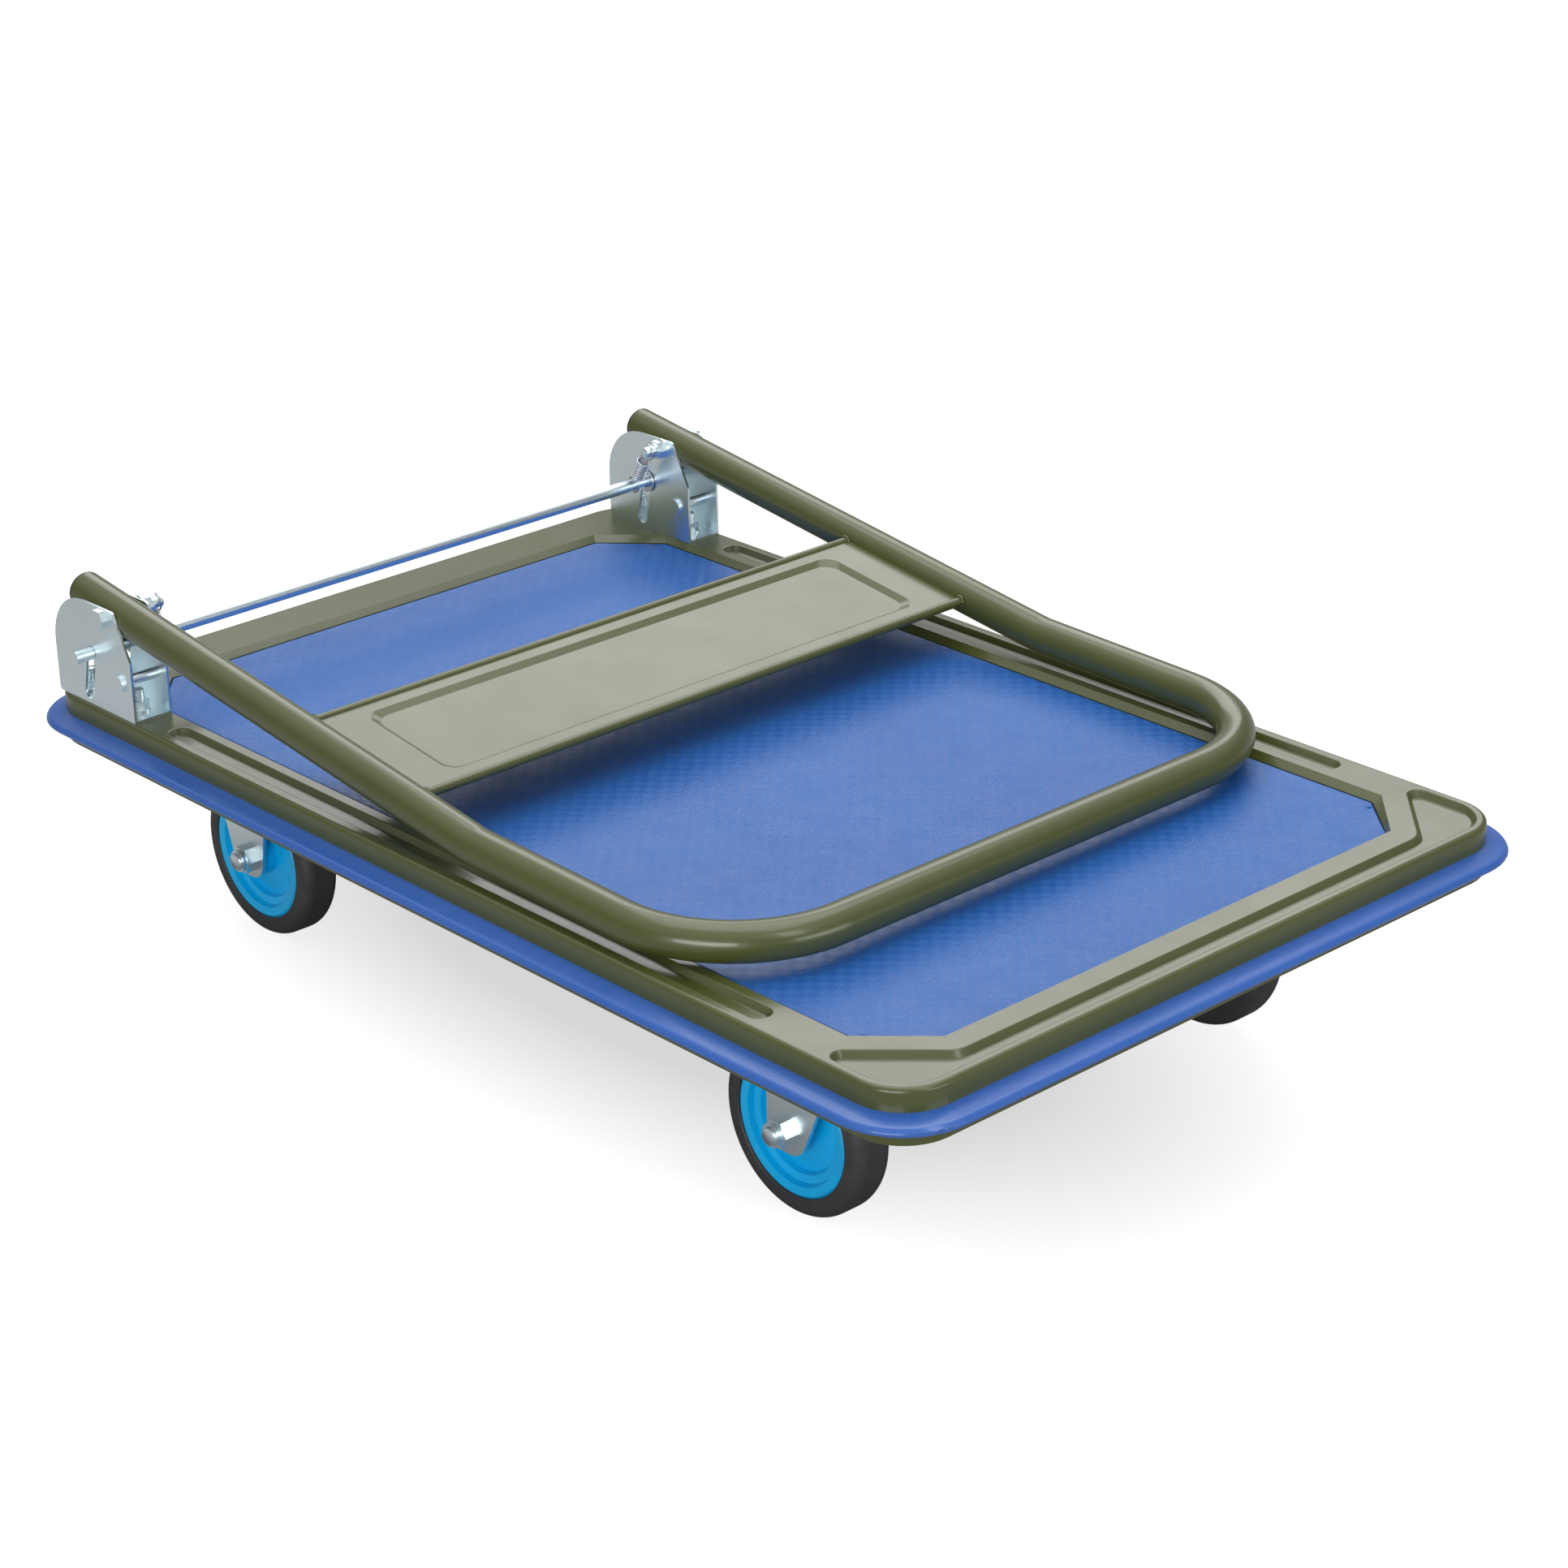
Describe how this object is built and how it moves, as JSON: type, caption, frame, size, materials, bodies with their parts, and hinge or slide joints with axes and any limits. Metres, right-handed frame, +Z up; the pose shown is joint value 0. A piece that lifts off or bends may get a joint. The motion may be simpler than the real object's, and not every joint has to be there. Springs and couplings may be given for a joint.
{
  "type": "folding platform cart",
  "caption": "Folding platform cart: steel deck with vinyl mat and bumper, fold-flat tube handle with cross panel, foot lock rod, rigid and swivel casters.",
  "frame": {"origin": "on the floor under the middle of the deck, midway along and across the bumper", "axes": "+X along the deck from the hinge end to the front end, +Y across the deck, +Z up"},
  "size_m": [0.92, 0.588, 0.2717],
  "materials": {
    "olive_paint": "glossy olive green paint on pressed and bent steel",
    "mat_vinyl": "blue textured vinyl sheet",
    "bumper_vinyl": "soft gloss blue extruded vinyl",
    "zinc_steel": "bright zinc plated steel",
    "spring_steel": "drawn spring wire, zinc plated",
    "bearing_steel": "ground bearing steel",
    "tyre_rubber": "dark grey moulded rubber tread",
    "hub_plastic": "blue moulded plastic hub",
    "black_plastic": "black moulded plastic"
  },
  "bodies": {
    "base": {"deck_pan": "olive_paint", "deck_mat": "mat_vinyl", "deck_bumper": "bumper_vinyl", "cross_channel_front": "olive_paint", "cross_channel_rear": "olive_paint", "hinge_bracket_r": "zinc_steel", "hinge_bracket_l": "zinc_steel", "bracket_bolts": "zinc_steel", "bracket_washers": "zinc_steel", "bracket_nuts": "zinc_steel", "stop_pins": "zinc_steel", "pivot_bolts": "zinc_steel", "pivot_washers": "zinc_steel", "pivot_nuts": "zinc_steel", "lock_spring_r": "spring_steel", "lock_spring_l": "spring_steel", "caster_bolts": "zinc_steel", "caster_nuts": "zinc_steel", "rigid_fork_fr": "zinc_steel", "axle_fr": "zinc_steel", "axle_nut_fr": "zinc_steel", "rigid_fork_fl": "zinc_steel", "axle_fl": "zinc_steel", "axle_nut_fl": "zinc_steel", "swivel_plate_rr": "zinc_steel", "upper_race_rr": "zinc_steel", "kingpin_rr": "zinc_steel", "swivel_plate_rl": "zinc_steel", "upper_race_rl": "zinc_steel", "kingpin_rl": "zinc_steel"},
    "handle": {"handle_tube": "olive_paint", "tube_plugs": "black_plastic", "handle_panel": "olive_paint"},
    "lock_bar": {"lock_rod": "zinc_steel", "lock_rod_clips": "spring_steel"},
    "swivel_rr": {"swivel_fork_rr": "zinc_steel", "lower_race_rr": "zinc_steel", "race_balls_rr": "bearing_steel", "axle_rr": "zinc_steel", "axle_nut_rr": "zinc_steel"},
    "swivel_rl": {"swivel_fork_rl": "zinc_steel", "lower_race_rl": "zinc_steel", "race_balls_rl": "bearing_steel", "axle_rl": "zinc_steel", "axle_nut_rl": "zinc_steel"},
    "wheel_fr": {"tyre_fr": "tyre_rubber", "hub_fr": "hub_plastic", "bearing_fr": "bearing_steel"},
    "wheel_fl": {"tyre_fl": "tyre_rubber", "hub_fl": "hub_plastic", "bearing_fl": "bearing_steel"},
    "wheel_rr": {"tyre_rr": "tyre_rubber", "hub_rr": "hub_plastic", "bearing_rr": "bearing_steel"},
    "wheel_rl": {"tyre_rl": "tyre_rubber", "hub_rl": "hub_plastic", "bearing_rl": "bearing_steel"}
  },
  "joints": [
    {"name": "handle_fold", "type": "hinge", "parent": "base", "child": "handle", "pos_m": [-0.362, 0, 0.2525], "axis": [0, -1, 0], "range_deg": [0, 93.5]},
    {"name": "lock_rod_slide", "type": "slide", "parent": "base", "child": "lock_bar", "axis": [-0.2275, 0, -0.9738], "range_m": [0, 0.0329], "deforming": ["lock_spring_r", "lock_spring_l"]},
    {"name": "swivel_rr_turn", "type": "hinge", "parent": "base", "child": "swivel_rr", "pos_m": [-0.3452, -0.186, 0.14], "axis": [0, 0, 1], "continuous": true},
    {"name": "swivel_rl_turn", "type": "hinge", "parent": "base", "child": "swivel_rl", "pos_m": [-0.3452, 0.186, 0.14], "axis": [0, 0, 1], "continuous": true},
    {"name": "wheel_fr_spin", "type": "hinge", "parent": "base", "child": "wheel_fr", "pos_m": [0.2643, -0.186, 0.0625], "axis": [0, 1, 0], "continuous": true},
    {"name": "wheel_fl_spin", "type": "hinge", "parent": "base", "child": "wheel_fl", "pos_m": [0.2643, 0.186, 0.0625], "axis": [0, 1, 0], "continuous": true},
    {"name": "wheel_rr_spin", "type": "hinge", "parent": "swivel_rr", "child": "wheel_rr", "pos_m": [-0.3072, -0.186, 0.0625], "axis": [0, 1, 0], "continuous": true},
    {"name": "wheel_rl_spin", "type": "hinge", "parent": "swivel_rl", "child": "wheel_rl", "pos_m": [-0.3072, 0.186, 0.0625], "axis": [0, 1, 0], "continuous": true}
  ],
  "couplings": [
    {"joint": "lock_rod_slide", "follows": "handle_fold", "m_per_rad": 0.0201}
  ]
}
